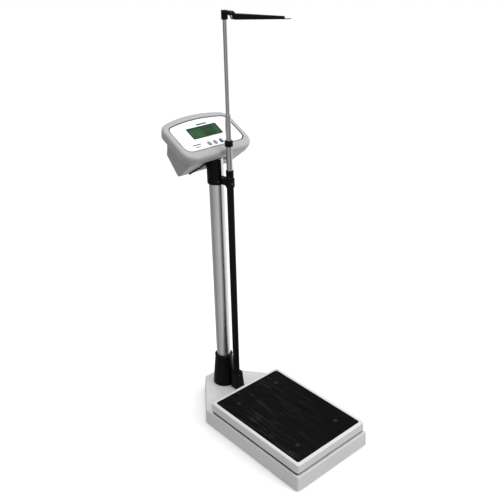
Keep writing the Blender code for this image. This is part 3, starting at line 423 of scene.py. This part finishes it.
def dress(node, look, edge):
    """Give a CAD node its material, rounded edges and clean shading."""
    piece = nodes[node]
    mesh = piece.data
    mesh.materials.clear()
    mesh.materials.append(LOOKS[look])
    for face in mesh.polygons:
        face.material_index = 0
    stored = mesh.attributes.get("custom_normal")
    if stored:
        mesh.attributes.remove(stored)
    mesh.shade_smooth()
    weld = piece.modifiers.new("weld", "WELD")
    weld.merge_threshold = 0.000002
    flat = piece.modifiers.new("flat", "DECIMATE")
    flat.decimate_type = "DISSOLVE"
    flat.angle_limit = math.radians(0.3)
    if edge:
        bevel = piece.modifiers.new("edge", "BEVEL")
        bevel.width = edge
        bevel.segments = EDGE_SEGMENTS
        bevel.limit_method = "ANGLE"
        bevel.angle_limit = SHARP_ANGLE
        bevel.harden_normals = False
        bevel.miter_outer = "MITER_ARC"
    weighted = piece.modifiers.new("normals", "WEIGHTED_NORMAL")
    weighted.keep_sharp = True
    weighted.weight = 80


DRESSED = {
    "paint": ("base_cover", "platform_tray"),
    "satin": ("column_tube",),
    "chrome": ("rod_lower_tube", "rod_middle_tube", "rod_upper_tube", "rod_guide_bush"),
    "black": ("column_socket", "rod_foot", "rod_bracket", "lower_lock_ring",
              "upper_lock_ring", "head_block", "head_arm",
              "power_socket", "signal_cable"),
    # platform_support's black coat is partly painted shade: it stands in for the shade seen in
    # the gap under the tray.
    "coat": ("rod_outer_tube", "base_frame", "platform_support", "indicator_bracket",
             "head_plate"),
    "rubber": tuple(name for name in sorted(nodes)
                    if name.startswith(("support_buffer", "levelling_foot", "case_strip"))),
    "zinc": tuple(name for name in sorted(nodes)
                  if name.startswith(("column_bolt", "lock_nut", "load_cell_", "arm_pivot",
                                      "indicator_screw"))),
    "dark_steel": ("rod_foot_screw", "bracket_screw_column", "bracket_screw_rod"),
    "aluminium": ("load_cell",),
    "case": ("indicator_bezel",),
    "rear_case": ("indicator_rear_case", "battery_door"),
    "film": ("overlay_panel",),
    "glass": ("lcd_window",),
    "green": ("lcd_module",),
    "key_grey": ("key_left", "key_middle"),
    "key_blue": ("key_right",),
    "board": ("main_board",),
    "battery": ("battery_pack",),
}

FINE_EDGES = {
    "base_cover": 0.0008, "platform_tray": 0.0007, "indicator_bezel": 0.0006,
    "indicator_rear_case": 0.0008, "overlay_panel": 0.00015, "lcd_window": 0.0001,
    "lcd_module": 0.0001, "key_left": 0.0003, "key_middle": 0.0003, "key_right": 0.0003,
    "rod_lower_tube": 0.0002, "rod_middle_tube": 0.0002, "rod_upper_tube": 0.0002,
    "column_tube": 0.0003, "rod_outer_tube": 0.0002, "signal_cable": 0.0,
}


def dress_cad_nodes():
    """Dress every CAD node that is seen as it is."""
    for look, names in DRESSED.items():
        for name in names:
            dress(name, look, FINE_EDGES.get(name, 0.0003))


# ---------------------------------------------------------------- new pieces

def link(name, bm, look, body, place=None):
    """Make a new piece that rides on a body."""
    bmesh.ops.recalc_face_normals(bm, faces=bm.faces)
    mesh = bpy.data.meshes.new(name)
    bm.to_mesh(mesh)
    bm.free()
    mesh.shade_smooth()
    mesh.set_sharp_from_angle(angle=SHARP_ANGLE)
    mesh.materials.append(LOOKS[look])
    made = bpy.data.objects.new(name, mesh)
    if place is not None:
        made.matrix_world = place
    bpy.context.scene.collection.objects.link(made)
    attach(made, body)
    return made


def loft(rings, bm=None):
    """A closed body through rings of equally many points, with flat ends."""
    bm = bmesh.new() if bm is None else bm
    rows = [[bm.verts.new(point) for point in ring] for ring in rings]
    count = len(rows[0])
    for low, high in zip(rows, rows[1:]):
        for i in range(count):
            j = (i + 1) % count
            bm.faces.new((low[i], low[j], high[j], high[i]))
    bm.faces.new(list(reversed(rows[0])))
    bm.faces.new(rows[-1])
    return bm


def prism(outline, low, high, bm=None):
    """A closed body with the same outline from low to high."""
    return loft([[(x, y, z) for x, y in outline] for z in (low, high)], bm)


def ring_band(outer, inner, low, high, bm=None):
    """A flat frame between two outlines of equally many points."""
    bm = bmesh.new() if bm is None else bm
    rows = [[bm.verts.new((x, y, z)) for x, y in outline]
            for outline, z in ((outer, low), (outer, high), (inner, high), (inner, low))]
    count = len(outer)
    for first, second in zip(rows, rows[1:] + rows[:1]):
        for i in range(count):
            j = (i + 1) % count
            bm.faces.new((first[i], first[j], second[j], second[i]))
    return bm


def circle(radius, steps, centre=(0, 0)):
    """Outline of a circle, counter-clockwise."""
    return [(centre[0] + radius * math.cos(math.tau * i / steps),
             centre[1] + radius * math.sin(math.tau * i / steps)) for i in range(steps)]


def rounded(width, height, radius, centre=(0, 0), steps=5):
    """Outline of a rectangle with round corners, counter-clockwise."""
    points = []
    corners = ((1, -1, -90), (1, 1, 0), (-1, 1, 90), (-1, -1, 180))
    for a, b, start in corners:
        x = centre[0] + a * (width / 2 - radius)
        y = centre[1] + b * (height / 2 - radius)
        for i in range(steps + 1):
            angle = math.radians(start + 90 * i / steps)
            points.append((x + radius * math.cos(angle), y + radius * math.sin(angle)))
    return points


# ---------------------------------------------------------------- platform mat

def rib_profile(low, high):
    """Section across the mat: flat below, evenly spaced grooves above."""
    count = int((high.x - low.x) / RIB_PITCH)
    first = (low.x + high.x - count * RIB_PITCH) / 2
    profile = [(low.x - RIB_PITCH, low.z - MAT_EDGE), (low.x - RIB_PITCH, high.z)]
    for i in range(count + 1):
        x = first + i * RIB_PITCH
        start, end, far = (x + reach for reach in RIB_GROOVE)
        profile += [(x, high.z), (start, high.z - RIB_DEPTH),
                    (end, high.z - RIB_DEPTH), (far, high.z)]
    profile += [(high.x + RIB_PITCH, high.z), (high.x + RIB_PITCH, low.z - MAT_EDGE)]
    return profile


def rounded_blank(low, high):
    """The mat's outside: rounded corners and a rounded upper edge."""
    centre = ((low.x + high.x) / 2, (low.y + high.y) / 2)
    width, length = high.x - low.x, high.y - low.y
    levels = [(0, low.z)]
    for step in range(MAT_EDGE_STEPS + 1):
        angle = math.pi / 2 * step / MAT_EDGE_STEPS
        levels.append((MAT_EDGE * (1 - math.cos(angle)),
                       high.z - MAT_EDGE * (1 - math.sin(angle))))
    levels.append((MAT_EDGE * 1.01, high.z + MAT_EDGE))
    rings = []
    for inset, z in levels:
        outline = rounded(width - 2 * inset, length - 2 * inset, MAT_CORNER - inset, centre)
        rings.append([(x, y, z) for x, y in outline])
    return loft(rings)


def keep_common(piece, bm):
    """Cut a piece down to what it shares with another closed shape."""
    mesh = bpy.data.meshes.new("shape")
    bmesh.ops.recalc_face_normals(bm, faces=bm.faces)
    bm.to_mesh(mesh)
    bm.free()
    shape = bpy.data.objects.new("shape", mesh)
    bpy.context.scene.collection.objects.link(shape)
    common = piece.modifiers.new("common", "BOOLEAN")
    common.operation = "INTERSECT"
    common.object = shape
    seen = piece.evaluated_get(bpy.context.evaluated_depsgraph_get())
    result = bpy.data.meshes.new_from_object(seen)
    piece.modifiers.clear()
    piece.data = result
    bpy.data.objects.remove(shape)


def platform_mat():
    """Rubber mat with fine ribs along the platform and four round moulded marks."""
    low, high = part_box("platform_mat")
    profile = rib_profile(low, high)
    slab = loft([[(x, y, z) for x, z in profile]
                 for y in (low.y - RIB_PITCH, high.y + RIB_PITCH)])
    mat = link("mat_ribbed", slab, "rubber", "platform")
    keep_common(mat, rounded_blank(low, high))
    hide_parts("platform_mat")
    for number in range(1, 5):
        centre = middle(f"support_buffer_{number}")
        rings = []
        for share, rise in MARK_RINGS:
            outline = circle(MARK_RADIUS * share, MARK_STEPS, (centre.x, centre.y))
            rings.append([(x, y, high.z + rise) for x, y in outline])
        link(f"mat_mark_{number}", loft(rings), "mark", "platform")


# ---------------------------------------------------------------- indicator details

# Segments of a digit: place of its middle in half widths and half heights, lies flat or not
SEGMENTS = {
    "a": ((0, 1), True), "b": ((1, 0.5), False), "c": ((1, -0.5), False),
    "d": ((0, -1), True), "e": ((-1, -0.5), False), "f": ((-1, 0.5), False),
    "g": ((0, 0), True),
}


def digit(bm, bars, centre, height, level):
    """Seven-segment digit; bars names the segments drawn."""
    thick = height * SEGMENT_WIDTH
    across, along = height * DIGIT_WIDTH - thick, (height - thick) / 2
    for name in bars:
        (a, b), flat = SEGMENTS[name]
        x = centre[0] + a * across / 2
        y = centre[1] + b * along
        reach = (across if flat else along) / 2 - thick * SEGMENT_GAP
        neck = reach - thick / 2
        bar = [(-reach, 0), (-neck, -thick / 2), (neck, -thick / 2),
               (reach, 0), (neck, thick / 2), (-neck, thick / 2)]
        if not flat:
            bar = [(-v, u) for u, v in bar]
        prism([(x + u, y + v) for u, v in bar], level, level + PRINT_THICKNESS, bm)


def display_digits():
    """Three dark zeros with a point at the right, and faint unlit digits beside them."""
    level = span("lcd_module", FACE)[1].z + DIGIT_LIFT
    window_low, window_high = span("lcd_window", FACE)
    height = (window_high.y - window_low.y) * DIGIT_HEIGHT
    step = height * DIGIT_STEP
    right = window_high.x - height * DIGIT_MARGIN
    lit, unlit = bmesh.new(), bmesh.new()
    for place in range(DIGIT_PLACES):
        centre = (right - step * place, 0.0)
        shown = "abcdef" if place < LIT_PLACES else ""
        digit(lit, shown, centre, height, level)
        digit(unlit, [name for name in SEGMENTS if name not in shown], centre, height, level)
    point = (right - step / 2, -height / 2 + height * POINT_RISE)
    prism(circle(height * POINT_RADIUS, POINT_STEPS, point), level,
          level + PRINT_THICKNESS, lit)
    link("display_digits", lit, "segment", STAND, FACE)
    link("display_unlit_digits", unlit, "ghost", STAND, FACE)


def oval(width, height, centre=(0, 0)):
    """Outline of an ellipse, counter-clockwise."""
    turns = [math.tau * i / ROUND_STEPS for i in range(ROUND_STEPS)]
    return [(centre[0] + width / 2 * math.cos(turn), centre[1] + height / 2 * math.sin(turn))
            for turn in turns]


def panel_edge():
    """The overlay panel's outline, counter-clockwise, in the indicator's frame."""
    back = FACE.inverted()
    points = [back @ vertex.co for vertex in nodes["overlay_panel"].data.vertices]
    top = max(point.z for point in points)
    window = span("lcd_window", FACE)[1]
    keys = [span(name, FACE) for name in ("key_left", "key_middle", "key_right")]
    outline = {}
    for point in points:
        in_window = abs(point.x) < window.x * 1.05 and abs(point.y) < window.y * 1.05
        at_key = any(low.x - 0.002 < point.x < high.x + 0.002
                     and low.y - 0.002 < point.y < high.y + 0.002 for low, high in keys)
        if top - point.z < 0.0001 and not in_window and not at_key:
            turn = round(math.atan2(point.y, point.x), 4)
            outline[turn] = (point.x, point.y)
    return [outline[turn] for turn in sorted(outline)]


def panel_print():
    """Dark frame of the display, painted shade line round the panel, key rings, ticks and plain
    bars.
    """
    panel_high = span("overlay_panel", FACE)[1]
    window_low, window_high = span("lcd_window", FACE)
    level = panel_high.z + PRINT_LIFT
    top = level + PRINT_THICKNESS
    width, height = window_high.x - window_low.x, window_high.y - window_low.y
    centre = ((window_low.x + window_high.x) / 2, (window_low.y + window_high.y) / 2)
    outer = rounded(width + 2 * WINDOW_FRAME, height + 2 * WINDOW_FRAME,
                    WINDOW_CORNERS[0], centre)
    inner = rounded(width - 2 * WINDOW_MASK, height - 2 * WINDOW_MASK,
                    WINDOW_CORNERS[1], centre)
    link("display_border", ring_band(outer, inner, level, top), "frame", STAND, FACE)
    # Painted shade: a dark band just inside the panel's edge stands in for the shadow at the
    # edge of its recess.
    outer = panel_edge()
    reach = (panel_high.x, panel_high.y)
    inner = [(x * (1 - PANEL_SHADE_LINE / reach[0]), y * (1 - PANEL_SHADE_LINE / reach[1]))
             for x, y in outer]
    link("panel_shade_line", ring_band(outer, inner, level, top), "print_and_shade_dark", STAND, FACE)
    for name in ("key_left", "key_middle", "key_right"):
        low, high = span(name, FACE)
        spot = ((low.x + high.x) / 2, (low.y + high.y) / 2)
        wide, tall = high.x - low.x, high.y - low.y
        outer = oval(wide + 2 * RING_OUTSIDE, tall + 2 * RING_OUTSIDE, spot)
        inner = oval(wide - 2 * RING_INSIDE, tall - 2 * RING_INSIDE, spot)
        look = "print_blue" if name == "key_right" else "print_grey"
        link(name + "_ring", ring_band(outer, inner, level, top), look, STAND, FACE)
    ticks = bmesh.new()
    for i in range(TICKS):
        x = centre[0] + width * (TICK_START + TICK_STEP * i)
        y = centre[1] - height / 2 - TICK_DROP
        prism(rounded(width * TICK_WIDTH, TICK_HEIGHT, TICK_CORNER, (x, y)), level, top, ticks)
    link("panel_ticks", ticks, "print_grey", STAND, FACE)
    for name, look, bars in (("panel_stripe", "print_blue", (BLUE_BAR,)),
                             ("panel_bars", "print_and_shade_dark", GREY_BARS)):
        printed = bmesh.new()
        for x, y, wide, tall in bars:
            prism(rounded(wide, tall, tall * BAR_CORNER, (x, y)), level, top, printed)
        link(name, printed, look, STAND, FACE)


def key_marks():
    """A small raised bar, oval ring or ring with a stem on each key."""
    bodies = {"key_left": "left_key", "key_middle": "middle_key", "key_right": "right_key"}
    for name, body in bodies.items():
        low, high = span(name, FACE)
        spot = ((low.x + high.x) / 2, (low.y + high.y) / 2)
        level = high.z - MARK_SINK
        top = high.z + MARK_RISE
        if name == "key_middle":
            outer, inner = (oval(*size, spot) for size in KEY_OVAL)
            bm = ring_band(outer, inner, level, top)
        elif name == "key_left":
            bm = prism(rounded(*KEY_BAR, spot), level, top)
        else:
            outer, inner = (circle(radius, ROUND_STEPS, spot) for radius in KEY_RING)
            bm = ring_band(outer, inner, level, top)
            stem = (spot[0], spot[1] + KEY_STEM_UP)
            prism(rounded(*KEY_STEM, stem), level, top + KEY_STEM_RISE, bm)
        link(name + "_mark", bm, "key_mark", body, FACE)


# ---------------------------------------------------------------- stage

def add_node(tree, kind, inputs=(), **settings):
    """A new node; inputs are pairs of an index and a value or another node's output."""
    made = tree.nodes.new(kind)
    for key, value in settings.items():
        setattr(made, key, value)
    for index, value in inputs:
        if isinstance(value, bpy.types.NodeSocket):
            tree.links.new(value, made.inputs[index])
        else:
            made.inputs[index].default_value = value
    return made


def studio_level(tree, vector):
    """Brightness of the studio in a direction: soft bright and dark panels all round."""
    axes = add_node(tree, "ShaderNodeSeparateXYZ", [(0, vector)]).outputs
    heading = add_node(tree, "ShaderNodeMath", [(0, axes[1]), (1, axes[0])],
                       operation="ARCTAN2").outputs[0]
    start = math.atan2(CAMERA_PLACE[1], CAMERA_PLACE[0]) - math.pi
    relative = add_node(tree, "ShaderNodeMath", [(0, heading), (1, start)],
                        operation="SUBTRACT").outputs[0]
    turns = add_node(tree, "ShaderNodeMath", [(0, relative), (1, math.tau)],
                     operation="DIVIDE").outputs[0]
    share = add_node(tree, "ShaderNodeMath", [(0, turns)], operation="FRACT").outputs[0]
    ramp = tree.nodes.new("ShaderNodeValToRGB")
    ramp.color_ramp.interpolation = "EASE"
    stops = ramp.color_ramp.elements
    while len(stops) > 1:
        stops.remove(stops[-1])
    for index, (degrees, level) in enumerate(STUDIO):
        place = (degrees + 180) / 360
        stop = stops[0] if index == 0 else stops.new(place)
        stop.position = place
        stop.color = (level / 2, level / 2, level / 2, 1)
    tree.links.new(share, ramp.inputs[0])
    doubled = add_node(tree, "ShaderNodeMath", [(0, ramp.outputs[0]), (1, 2.0)],
                       operation="MULTIPLY")
    return doubled.outputs[0], axes[2]


def stage():
    """A plain pale floor; polished metal sees the studio's panels in it."""
    floor = bmesh.new()
    bmesh.ops.create_grid(floor, x_segments=1, y_segments=1, size=FLOOR_HALF)
    mesh = bpy.data.meshes.new("floor")
    floor.to_mesh(mesh)
    floor.free()
    look = Nodes("floor")
    look.set(Base_Color=FLOOR_COLOUR, Roughness=0.9)
    look.set(Emission_Color=(1, 1, 1, 1), Emission_Strength=FLOOR_GLOW)
    look.shader.inputs["Specular IOR Level"].default_value = 0.1
    tree = look.tree
    column = middle("column_socket")
    away = add_node(tree, "ShaderNodeVectorMath",
                    [(0, look.place), (1, (column.x, column.y, 0))], operation="SUBTRACT")
    level, _ = studio_level(tree, away.outputs[0])
    glow = add_node(tree, "ShaderNodeEmission", [(0, level), (1, 1.0)])
    ray = tree.nodes.new("ShaderNodeLightPath").outputs
    weak = add_node(tree, "ShaderNodeBsdfDiffuse", [(0, (FLOOR_BOUNCE,) * 3 + (1.0,))])
    lower = add_node(tree, "ShaderNodeMixShader",
                     [(0, ray["Is Diffuse Ray"]), (1, look.shader.outputs[0]),
                      (2, weak.outputs[0])])
    mixed = add_node(tree, "ShaderNodeMixShader",
                     [(0, ray["Is Glossy Ray"]), (1, lower.outputs[0]), (2, glow.outputs[0])])
    tree.links.new(mixed.outputs[0], tree.nodes["Material Output"].inputs["Surface"])
    mesh.materials.append(look.material)
    made = bpy.data.objects.new("floor", mesh)
    made.location.z = FLOOR_Z
    bpy.context.scene.collection.objects.link(made)


def studio():
    """Walls with soft bright and dark panels, a bright ceiling and a white backdrop."""
    world = bpy.data.worlds.new("studio")
    bpy.context.scene.world = world
    world.use_nodes = True
    tree = world.node_tree
    background = tree.nodes["Background"]
    direction = tree.nodes.new("ShaderNodeTexCoord").outputs["Generated"]
    walls, up = studio_level(tree, direction)
    height = add_node(tree, "ShaderNodeMapRange",
                      [(0, up), (1, CEILING_RISE[0]), (2, CEILING_RISE[1]), (3, 0.0),
                       (4, 1.0)]).outputs[0]
    lit = add_node(tree, "ShaderNodeMix", [(0, height), (2, walls), (3, CEILING)]).outputs[0]
    eye = tree.nodes.new("ShaderNodeLightPath").outputs["Is Camera Ray"]
    seen = add_node(tree, "ShaderNodeMix", [(0, eye), (2, lit), (3, 1.0)]).outputs[0]
    tree.links.new(seen, background.inputs["Color"])
    background.inputs["Strength"].default_value = 1.0


def area_light(name, place, size, power):
    """A square light panel aimed at the object."""
    light = bpy.data.lights.new(name, "AREA")
    light.shape = "RECTANGLE"
    light.size = light.size_y = size
    light.energy = power
    made = bpy.data.objects.new(name, light)
    made.location = place
    aim = Vector(LIGHT_AIM) - Vector(place)
    made.rotation_euler = aim.to_track_quat("-Z", "Y").to_euler()
    bpy.context.scene.collection.objects.link(made)


def lights():
    """A large key light in front to the right and a soft light from above."""
    area_light("key", *KEY_LIGHT)
    area_light("top", *TOP_LIGHT)


def camera():
    """A camera that sees the scale from the front left, a little from above."""
    azimuth, elevation = math.radians(CAMERA_AZIMUTH), math.radians(CAMERA_ELEVATION)
    roll = math.radians(CAMERA_ROLL)
    back = Vector((math.sin(azimuth) * math.cos(elevation),
                   -math.cos(azimuth) * math.cos(elevation), math.sin(elevation)))
    right = (-back).cross(Vector((0, 0, 1))).normalized()
    up = right.cross(-back)
    across = math.cos(roll) * right + math.sin(roll) * up
    upward = -math.sin(roll) * right + math.cos(roll) * up
    turn = Matrix((across, upward, back)).transposed().to_4x4()
    lens = bpy.data.cameras.new("camera")
    lens.lens = CAMERA_LENS
    lens.sensor_width = CAMERA_SENSOR
    lens.clip_start, lens.clip_end = CAMERA_REACH
    made = bpy.data.objects.new("camera", lens)
    made.matrix_world = Matrix.Translation(CAMERA_PLACE) @ turn
    bpy.context.scene.collection.objects.link(made)
    bpy.context.scene.camera = made
    bpy.context.scene.view_settings.view_transform = "Standard"


dress_cad_nodes()
platform_mat()
display_digits()
panel_print()
key_marks()
stage()
studio()
lights()
camera()
